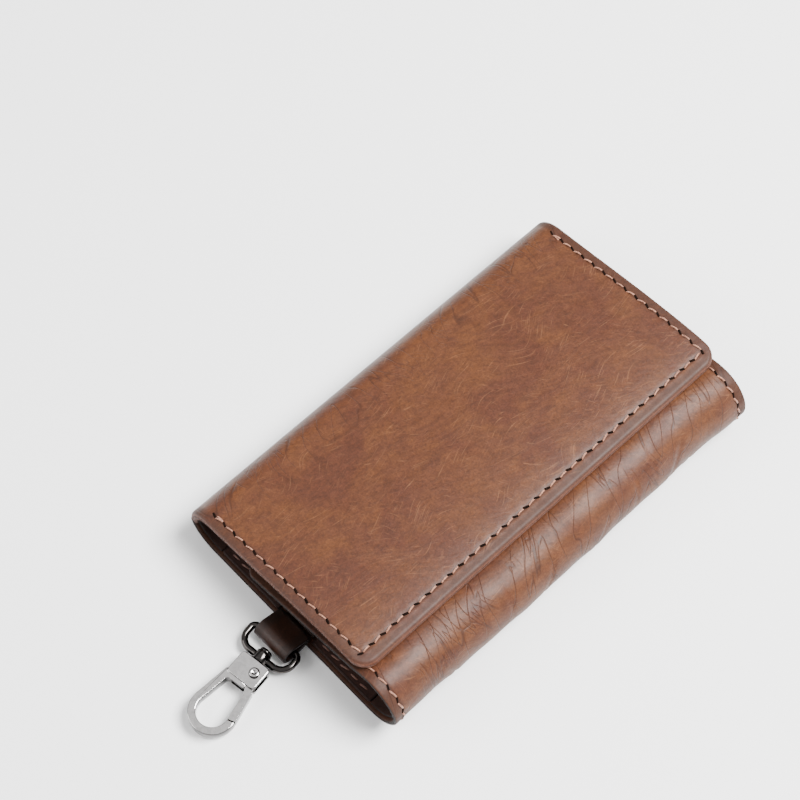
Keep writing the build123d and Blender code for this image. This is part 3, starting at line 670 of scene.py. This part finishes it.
def seam_points(lines, pitch=PITCH):
    """Stitch middles and their directions in (s, y), and the holes between them."""
    middles, ways, holes, hole_ways = [], [], [], []
    for line in lines:
        for number, ((s0, y0), (s1, y1)) in enumerate(zip(line, line[1:])):
            length = math.hypot(s1 - s0, y1 - y0)
            count = max(int(round(length / pitch)), 1)
            way = ((s1 - s0) / length, (y1 - y0) / length)
            for i in range(count):
                share = (i + 0.5) / count
                middles.append((s0 + (s1 - s0) * share, y0 + (y1 - y0) * share))
                ways.append(way)
            for i in range(count + 1):
                if i or not number:
                    holes.append((s0 + (s1 - s0) * i / count, y0 + (y1 - y0) * i / count))
                    hole_ways.append(way)
            if number in (0, len(line) - 2):
                near = 0 if number == 0 else count - 1
                share = (near + 0.5) / count
                middles.append((s0 + (s1 - s0) * share + 0.3 * way[1], y0 + (y1 - y0) * share + 0.3 * way[0]))
                ways.append((way[0] * 0.98 - way[1] * 0.2, way[1] * 0.98 + way[0] * 0.2))
    return middles, ways, holes, hole_ways


def stitch_values(material, length, rise, dive, thick, slant, seed):
    """The tree's inputs for one kind of stitch, from sizes in millimetres."""
    return {"Length": length * MM, "Rise": rise * MM, "Dive": dive * MM, "Thread": thick * MM,
            "Slant": slant, "Seed": seed, "Material": material}


def stitch_row(name, flap, lines, depth, lift, material, attach, inside=False):
    """A row of stitches and its needle holes on one face of a sheet; the holes are dark pieces of painted
    shade.
    """
    middles, ways, holes, hole_ways = seam_points(lines)
    for label, spots, dirs, values in (
        ("thread", middles, ways, stitch_values(material, 2.4, 0.62, 0.42, 0.21, 0.2, 3)),
        # the holes are dark pieces, painted shade for the shadow inside each needle hole
        ("holes", holes, hole_ways, stitch_values(hole_painted_shade, 1.35, 0.0, 0.12, 0.3, 0.2 - 0.62, 5)),
    ):
        place, along, normal = along_section(flap, spots, depth, lift)
        d = np.array(dirs, float)
        way = along * d[:, :1] + np.array([0, 1, 0]) * d[:, 1:]
        up = -normal if inside else normal
        if label == "holes":
            place = place - up * 0.12
        attach(grown(f"{name}_{label}", stitches, place, up, way, values))


def bends():
    """Bakes a sheet's transform into its mesh."""
    return lambda obj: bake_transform(obj)


def rides(body):
    return lambda obj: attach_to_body(obj, body)


def middle_of(flap):
    return flap["flat"] + flap["radius"] * flap["turn"] / 2


cover_seams = seam_lines(COVER, bend_end(COVER) - 0.5)
wing_seams = seam_lines(WING, WING["flat"] + WING["radius"] * 1.2, with_edge=False)
cover_end, wing_end = free_edge(COVER), free_edge(WING)

# Outer leather
back_cover = sheet("back_skin_cover_side", COVER, 0.0, middle_of(COVER), (0, OUTER), outer_skin, corner=None)
back_wing = sheet(
    "back_skin_wing_side", WING, 0.0, middle_of(WING), (0, OUTER), outer_skin, corner=None, lift=wing_lift,
)
cover_skin = sheet(
    "cover_skin", COVER, middle_of(COVER), cover_end, (0, OUTER), cover_leather, corner=4.5, lift=cover_lift,
    seams=cover_seams, bead=1.15,
)
wing_skin = sheet(
    "wing_skin", WING, middle_of(WING), wing_end, (0, OUTER), outer_skin, corner=3.0, lift=wing_lift,
    seams=wing_seams,
)


def fit_sheets(cover_half, wing_half, cover_rest, wing_rest):
    """Bakes the transforms of the sheets over the two halves of both folds into their meshes."""
    backs = ((cover_half, COVER, True), (wing_half, WING, True))
    for obj, flap, first in backs + ((cover_rest, COVER, False), (wing_rest, WING, False)):
        bends()(obj)


fit_sheets(back_cover, back_wing, cover_skin, wing_skin)
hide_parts("back_leather", "cover_spine_leather")
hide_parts("wing_spine_leather")
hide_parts("cover_leather")
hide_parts("wing_leather")

stitch_row("cover_outside", COVER, cover_seams, 0.0, cover_lift, outer_thread, rides("cover"))
stitch_row("wing_outside", WING, wing_seams, 0.0, wing_lift, outer_thread, bends())


# Linings
def dimple(s, y):
    """The lining keeps to the level of the snap sockets round them, and swells with the cover elsewhere."""
    lift = cover_lift(s, y)
    x = section(COVER, s)[0]
    for snap_x, snap_y in SNAPS:
        lift = lift * smooth(5.0, 17.0, np.hypot(x - snap_x, y - snap_y))
    return lift


def wing_border(s, y):
    """A narrow border strip along the wing's free edge, set off by a groove."""
    return 0.28 * np.exp(-(((s - (wing_end - 5.2)) / 0.35) ** 2))


LINING_FROM = 25.7
cover_lining_a = sheet(
    "spine_lining_cover_side", COVER, LINING_FROM, middle_of(COVER), (OUTER, 2.0), lining_skin, 1.0, None,
)
wing_lining_a = sheet(
    "spine_lining_wing_side", WING, LINING_FROM, middle_of(WING), (OUTER, 2.05), lining_skin, 1.0, None,
    lift=wing_lift,
)
cover_lining_b = sheet(
    "cover_lining_skin", COVER, middle_of(COVER), cover_end - 1.0, (OUTER, 1.9), lining_skin, 1.0, 4.0,
    lift=dimple, seams=cover_seams, rounding=0.3, step=0.9,
)
wing_lining_b = sheet(
    "wing_lining_skin", WING, middle_of(WING), wing_end - 1.0, (OUTER, BACK_TOP), lining_skin, 1.0, 2.5,
    lift=wing_lift, seams=wing_seams, step=0.8, rounding=0.4, extra=wing_border,
)
fit_sheets(cover_lining_a, wing_lining_a, cover_lining_b, wing_lining_b)
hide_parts("cover_spine_lining")
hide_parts("wing_spine_lining")
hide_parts("cover_lining")
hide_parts("wing_lining")

POCKET_EDGE_X = 19.0
panel_x = COVER["flat"] + COVER["radius"] * math.sin(COVER["turn"])
pocket_from = bend_end(COVER) + abs((POCKET_EDGE_X - panel_x) / math.cos(COVER["turn"]))
pocket = sheet(
    "cover_pocket_skin", COVER, pocket_from, cover_end - 1.0, (1.9, 2.6), lining_skin, 1.0, 4.0, lift=dimple,
    seams=cover_seams, rounding=0.3, step=0.9, free_start=True,
)
rides("cover")(pocket)
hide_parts("cover_pocket")
pocket_seam = seam_lines(COVER, pocket_from + 0.8)
stitch_row("cover_inside", COVER, pocket_seam, 2.6, dimple, inner_thread, rides("cover"), inside=True)
wing_inside_seam = [[(bend_end(WING) + 1.0, y), (wing_end - 6.0, y)] for y in (-SEAM_Y, SEAM_Y)]
stitch_row("wing_inside", WING, wing_inside_seam, BACK_TOP, wing_lift, inner_thread, rides("wing"), True)


# Middle insert of the back
def flat_panel(name, outline, z_low, z_high, material, rounding, step=1.0):
    """A flat piece of leather with a rounded upper edge, from an outline that runs anticlockwise."""
    pts = np.array(outline, float)
    ring = []
    for a, b in zip(pts, np.roll(pts, -1, 0)):
        count = max(int(np.hypot(*(b - a)) / step), 1)
        ring += [a + (b - a) * i / count for i in range(count)]
    ring = np.array(ring)
    before, after = np.roll(ring, 1, 0), np.roll(ring, -1, 0)
    t1 = (ring - before) / np.linalg.norm(ring - before, axis=1)[:, None]
    t2 = (after - ring) / np.linalg.norm(after - ring, axis=1)[:, None]
    n1, n2 = np.stack([-t1[:, 1], t1[:, 0]], 1), np.stack([-t2[:, 1], t2[:, 0]], 1)
    inward = (n1 + n2) / (1 + (n1 * n2).sum(1))[:, None]
    levels = [(0, z_low)]
    for a in np.linspace(0, math.pi / 2, 6):
        levels.append((rounding * (1 - math.cos(a)), z_high - rounding * (1 - math.sin(a))))
    levels += [(rounding + 0.15, z_high), (rounding + 0.38, z_high)]
    points, n = [], len(ring)
    for offset, z in levels:
        points += [(*p, z) for p in ring + inward * offset]
    faces = []
    for k in range(len(levels) - 1):
        for i in range(n):
            j = (i + 1) % n
            faces.append((k * n + i, k * n + j, (k + 1) * n + j, (k + 1) * n + i))
    faces.append(tuple(range(n - 1, -1, -1)))
    faces.append(tuple((len(levels) - 1) * n + i for i in range(n)))
    obj = new_mesh(name, points, faces, material)
    rims = np.repeat([offset + 0.3 for offset, _ in levels], n)
    rims[-n:] = FAR
    store_lay(obj, points, rims)
    return obj


def rounded_corner(cx, cy, r, a0, a1, count=5):
    turns = [math.radians(a) for a in np.linspace(a0, a1, count)]
    return [(cx + r * math.cos(a), cy + r * math.sin(a)) for a in turns]


notch = 5.8
notch_low = 40.8
insert_outline = (
    rounded_corner(-24.7, -55.7, 0.8, 180, 270) + rounded_corner(24.7, -55.7, 0.8, 270, 360)
    + rounded_corner(24.7, 55.7, 0.8, 0, 90)
    + [(notch, 56.5), (notch, notch_low), (-notch, notch_low), (-notch, 56.5)]
    + rounded_corner(-24.7, 55.7, 0.8, 90, 180)
)
insert = flat_panel("insert_skin", insert_outline, OUTER, BACK_TOP, insert_skin, 0.35)
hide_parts("back_lining")
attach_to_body(insert, "case_back")


def insert_row(name, x0, x1, y):
    spots, count = [], max(int(round((x1 - x0) / PITCH)), 1)
    for i in range(count):
        spots.append((x0 + (x1 - x0) * (i + 0.5) / count, y, BACK_TOP + 0.02))
    spots = np.array(spots)
    ups, ways = np.tile([0, 0, 1.0], (count, 1)), np.tile([1.0, 0, 0], (count, 1))
    values = stitch_values(inner_thread, 2.5, 0.5, 0.35, 0.24, 0.16, 9)
    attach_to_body(grown(name, stitches, spots, ups, ways, values), "case_back")


insert_row("insert_seam_low", -23.5, 23.5, -54.6)
insert_row("insert_seam_left", -23.5, -7.5, 55.0)
insert_row("insert_seam_right", 7.5, 23.5, 55.0)

# Strap
STRAP_HALF = 5.2


def band(name, outline, inner, half_width, material, rounding=0.25):
    """A leather band with rounded edges, from the outer and the inner line of its section in (y, z)."""
    outer_line, inner_line = np.array(outline, float), np.array(inner, float)
    offsets = [0, 0.03, 0.09, 0.17, 0.27]
    xs = [-half_width + d for d in offsets] + steps_between(-half_width + 0.6, half_width - 0.6, 0.7)
    xs = np.array(sorted(xs + [half_width - d for d in offsets]))
    points, lay, rims = [], [], []
    middle = (outer_line + inner_line) / 2
    run = np.concatenate([[0], np.cumsum(np.linalg.norm(np.diff(middle, axis=0), axis=1))])
    for x in xs:
        e = half_width - abs(x)
        drop = rounded_drop(rounding, e)
        thick = np.linalg.norm(outer_line - inner_line, axis=1)[:, None]
        shift = (inner_line - outer_line) / thick * drop
        for line, sign, depth in ((outer_line, 1, 0.0), (inner_line, -1, 0.8)):
            for (py, pz), r in zip(line + sign * shift, run):
                points.append((x, py, pz))
                lay.append((x, r, depth))
                rims.append(e)
    n = len(outer_line)
    faces = []
    last = len(xs) - 1

    def at(i, layer, k):
        return (i * 2 + layer) * n + k

    for i in range(last):
        for k in range(n - 1):
            faces.append((at(i, 0, k), at(i + 1, 0, k), at(i + 1, 0, k + 1), at(i, 0, k + 1)))
            faces.append((at(i, 1, k), at(i, 1, k + 1), at(i + 1, 1, k + 1), at(i + 1, 1, k)))
        for k, flip in ((0, False), (n - 1, True)):
            quad = (at(i, 0, k), at(i, 1, k), at(i + 1, 1, k), at(i + 1, 0, k))
            faces.append(quad[::-1] if flip else quad)
    for i, flip in ((0, False), (last, True)):
        for k in range(n - 1):
            quad = (at(i, 0, k), at(i, 0, k + 1), at(i, 1, k + 1), at(i, 1, k))
            faces.append(quad[::-1] if flip else quad)
    obj = new_mesh(name, points, faces, material)
    bm = bmesh.new()
    bm.from_mesh(obj.data)
    bmesh.ops.recalc_face_normals(bm, faces=bm.faces)
    bm.to_mesh(obj.data)
    bm.free()
    store_lay(obj, lay, rims)
    return obj


def strap_lines():
    """The strap past its fold: over the top, round the ring's bar and back underneath."""
    low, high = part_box("strap_loop")
    thick, end_radius = 0.86, 0.85
    loop_radius = (high[2] - low[2]) / 2 / MM
    middle_z = (high[2] + low[2]) / 2 / MM
    loop_y, fold_y = high[1] / MM - loop_radius, low[1] / MM + end_radius
    outer, inner = [], []
    top = math.degrees(math.asin((loop_radius - end_radius) / (loop_y - fold_y)))
    for a in np.linspace(90 + top, -90 - top, 33):
        across, up = math.cos(math.radians(a)), math.sin(math.radians(a))
        for line, radius in ((outer, loop_radius - 0.02), (inner, loop_radius - thick)):
            line.append((loop_y + radius * across, middle_z + radius * up))
    start_y, turned = fold_y - 0.2, math.radians(90 + top)
    start_outer = (start_y + 0.84 * math.cos(turned), middle_z + 0.84 * math.sin(turned))
    start_inner = (start_y, middle_z + 0.03)
    lines = []
    for start, line in ((start_outer, outer), (start_inner, inner)):
        start = np.array(start)
        lead = [tuple(start + (np.array(line[0]) - start) * t) for t in np.linspace(0, 1, 7)[:-1]]
        lines.append(lead + line + [(y, 2 * middle_z - z) for y, z in lead[::-1]])
    return lines


strap_outer, strap_inner = strap_lines()
strap = band("strap_skin", strap_outer, strap_inner, STRAP_HALF, strap_skin)
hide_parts("strap_loop")
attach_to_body(strap, "strap")

anchor = band(
    "strap_anchor_skin",
    [(41.4, 2.17)] + [(y, 2.18) for y in (44, 48, 52, 55.0)] + [(55.35, 2.2)],
    [(y, 1.32) for y in (41.4, 44, 48, 52, 55.0, 55.35)],
    STRAP_HALF, strap_skin,
)
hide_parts("strap_anchor")
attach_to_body(anchor, "case_back")


# Metal pieces, from the solids with their edges eased
def eased(node, material, width, segments=2, angle=32.0, painted_shade=0.0):
    """A copy of a metal node with its corners rounded off. The last argument paints shade on its walls and
    rounded corners: the more sideways a point faces, the darker it is painted.
    """
    source = frame["nodes"][node]
    mesh = source.data.copy()
    mesh.name = f"{node}_eased"
    bm = bmesh.new()
    bm.from_mesh(mesh)
    bmesh.ops.remove_doubles(bm, verts=bm.verts, dist=1e-7)
    bmesh.ops.dissolve_limit(bm, angle_limit=math.radians(0.6), verts=bm.verts, edges=bm.edges)
    if node == "clasp_hook":
        # only the rims of its upper and lower faces are rounded, not the slot that the gate turns in
        rounded = bm.edges.layers.float.new("bevel_weight_edge")
        heights = [v.co.z for v in bm.verts]
        middle = (min(heights) + max(heights)) / 2
        for edge in bm.edges:
            a, b = (v.co.z - middle for v in edge.verts)
            level = abs(a - b) < 0.01 * MM and min(abs(a), abs(b)) > 1.2 * MM
            sharp = len(edge.link_faces) == 2 and edge.calc_face_angle(0.0) > math.radians(angle)
            edge[rounded] = 1.0 if level and sharp else 0.0
    bm.to_mesh(mesh)
    bm.free()
    mesh.materials.clear()
    mesh.materials.append(material)
    if "custom_normal" in mesh.attributes:
        mesh.attributes.remove(mesh.attributes["custom_normal"])
    mesh.shade_smooth()
    obj = bpy.data.objects.new(f"{node}_eased", mesh)
    bpy.context.scene.collection.objects.link(obj)
    bevel = obj.modifiers.new("ease", "BEVEL")
    bevel.width = width * MM
    bevel.segments = segments
    bevel.limit_method = "WEIGHT" if node == "clasp_hook" else "ANGLE"
    bevel.angle_limit = math.radians(angle)
    bevel.harden_normals = False
    bevel.use_clamp_overlap = node != "clasp_hook"
    plain = baked(obj)
    plain.shade_smooth()
    for label in ("sharp_face", "custom_normal"):
        if label in plain.attributes:
            plain.attributes.remove(plain.attributes[label])
    plain.set_sharp_from_angle(angle=math.radians(34))
    # painted shade: each vertex is painted darker the more sideways it faces
    facing = np.abs(np.array([v.normal.z for v in plain.vertices]))
    store(obj, "side", painted_shade * smooth(0.985, 0.7, facing))
    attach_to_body(obj, source.parent.name.split(":")[1])
    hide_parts(node)
    return obj


# the clasp hook and gate lever get painted shade on their walls
PAINTED_SHADE_NODES = ("clasp_hook", "gate_lever")
METAL = {
    "clasp_hook": (gunmetal, 0.2, 3, "gunmetal"), "gate_lever": (gunmetal, 0.25, 3, "gunmetal"),
    "gate_pin": (gunmetal, 0.12, 2, "gunmetal"), "swivel_ring": (ring_steel, 0.12, 2, "gunmetal"),
    "swivel_post": (ring_steel, 0.1, 2, "gunmetal"), "gate_spring": (dark_steel, 0, 0, "hidden_steel"),
    "hook_plate": (nickel, 0.1, 2, "plate_nickel"), "key_bar": (nickel, 0.05, 1, "plate_nickel"),
    "plate_rivets": (nickel, 0.06, 1, "plate_nickel"), "rivet_washers": (dark_steel, 0.04, 1, "hidden_steel"),
    "snap_sockets": (snap_steel, 0.1, 2, "snap_metal"), "snap_springs": (dark_steel, 0, 0, "snap_metal"),
    "snap_caps": (dark_steel, 0.06, 1, "snap_metal"), "snap_studs": (snap_steel, 0.06, 1, "snap_metal"),
    "snap_posts": (dark_steel, 0.06, 1, "snap_metal"),
}
for n in range(1, 7):
    METAL[f"hanger_{n}"] = (nickel, 0.05, 1, "clip_steel")
    METAL[f"key_clip_{n}"] = (clip_steel, 0.08, 2, "clip_steel")
for node, (material, width, segments, slot) in METAL.items():
    if width:
        painted_shade = 0.95 if node in PAINTED_SHADE_NODES else 0.0
        eased(node, material, width, segments, painted_shade=painted_shade)
    else:
        obj = frame["nodes"][node]
        obj.data.materials.clear()
        obj.data.materials.append(material)


def dome(name, node, upward, material, profile):
    """A turned rivet head over one end of a pin: a domed rim round a shallow dimple, with painted shade in
    rings.
    """
    low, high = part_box(node)
    centre = (np.array(low) + np.array(high)) / 2 / MM
    face = (high[2] if upward else low[2]) / MM
    way = 1 if upward else -1
    # each ring carries the painted shade from the profile's third column
    points, painted_shade, count = [(centre[0], centre[1], face + way * profile[0][1])], [0.0], 40
    for r, h, side in profile[1:]:
        for a in np.linspace(0, 2 * math.pi, count, endpoint=False):
            points.append((centre[0] + r * math.cos(a), centre[1] + r * math.sin(a), face + way * h))
            painted_shade.append(side)
    faces = [(0, 1 + i, 1 + (i + 1) % count) for i in range(count)]
    for k in range(len(profile) - 2):
        for i in range(count):
            j = (i + 1) % count
            a, b = 1 + k * count, 1 + (k + 1) * count
            faces.append((a + i, b + i, b + j, a + j))
    faces.append(tuple(1 + (len(profile) - 2) * count + i for i in range(count))[::-1])
    if not upward:
        faces = [f[::-1] for f in faces]
    obj = new_mesh(name, points, faces, material)
    store(obj, "side", painted_shade)
    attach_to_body(obj, frame["nodes"][node].parent.name.split(":")[1])


# radius, height and painted shade of the head's rings, from its centre outwards: the dark rings paint shade
# on the dimple's slope and round the head's edge
PIN_HEAD = [
    (0, 0.06, 0.0), (0.2, 0.07, 0.2), (0.42, 0.16, 0.9), (0.62, 0.27, 0.2), (0.84, 0.3, 0.0),
    (1.06, 0.24, 0.5), (1.24, 0.1, 1.0), (1.3, -0.02, 1.0), (1.31, -0.14, 1.0), (1.3, -0.24, 1.0),
]
dome("pin_head_top", "gate_pin", True, gunmetal, PIN_HEAD)
dome("pin_head_under", "gate_pin", False, gunmetal, PIN_HEAD)

# Floor, lights and camera
floor_material, floor_net, floor_shader = new_material("pale_floor")
floor_place = floor_net.add("ShaderNodeTexCoord", out="Object")
floor_cloud = floor_net.noise(floor_place, 3.0, 3.0)
floor_share = floor_net.span(floor_cloud, 0.3, 0.7)
floor_colour = floor_net.mix(floor_share, (0.93, 0.93, 0.93, 1), (0.95, 0.95, 0.945, 1))
floor_net.fill(floor_shader.inputs, {"Base Color": floor_colour, "Roughness": 0.75})
FLOOR_HALF = 3000
FLOOR_Z = -0.05
floor_corners = [(a * FLOOR_HALF, b * FLOOR_HALF, FLOOR_Z) for a, b in ((-1, -1), (1, -1), (1, 1), (-1, 1))]
floor = new_mesh("floor", floor_corners, [(0, 1, 2, 3)], floor_material)

camera = bpy.data.objects.new("camera", bpy.data.cameras.new("camera"))
bpy.context.scene.collection.objects.link(camera)
camera.data.lens = 102.72
camera.data.sensor_width = 36.0
camera.data.clip_start = 0.01
camera.location = Vector((-153.27, 167.41, 499.10)) * MM
aim = Vector((26.41, -1.91, 0.0)) * MM
camera.rotation_mode = "QUATERNION"
camera.rotation_quaternion = (aim - camera.location).to_track_quat("-Z", "Y")
bpy.context.scene.camera = camera


def softbox(name, way, distance, size, power, colour=(1, 1, 1)):
    """A large area light in a given direction from the case, aimed at it."""
    light = bpy.data.lights.new(name, "AREA")
    light.shape = "RECTANGLE"
    light.size, light.size_y = size
    light.energy = power
    light.color = colour
    obj = bpy.data.objects.new(name, light)
    obj.location = Vector(way).normalized() * distance
    obj.rotation_mode = "QUATERNION"
    obj.rotation_quaternion = (-obj.location).to_track_quat("-Z", "Y")
    bpy.context.scene.collection.objects.link(obj)
    return obj


softbox("key_light", (-0.36, -0.36, 0.86), 1.0, (0.5, 0.5), 40.0)
softbox("fill_light", (0.5, 0.75, 0.6), 1.4, (0.9, 0.9), 12.0)
world = bpy.data.worlds.new("studio")
bpy.context.scene.world = world
world.use_nodes = True
sky = Net(world.node_tree)
height = sky.add("ShaderNodeSeparateXYZ", {0: sky.add("ShaderNodeTexCoord", out="Generated")}, "Z")
# pale at the horizon, a darker band above it for the metal to show, and white overhead
sky_colour = sky.mix(sky.span(height, 0.3, 0.4), (0.78, 0.78, 0.78, 1), (0.04, 0.04, 0.042, 1))
sky_colour = sky.mix(sky.span(height, 0.46, 0.74), sky_colour, (1.0, 1.0, 1.0, 1))
backdrop = world.node_tree.nodes["Background"]
sky.fill(backdrop.inputs, {"Color": sky_colour, "Strength": 0.95})
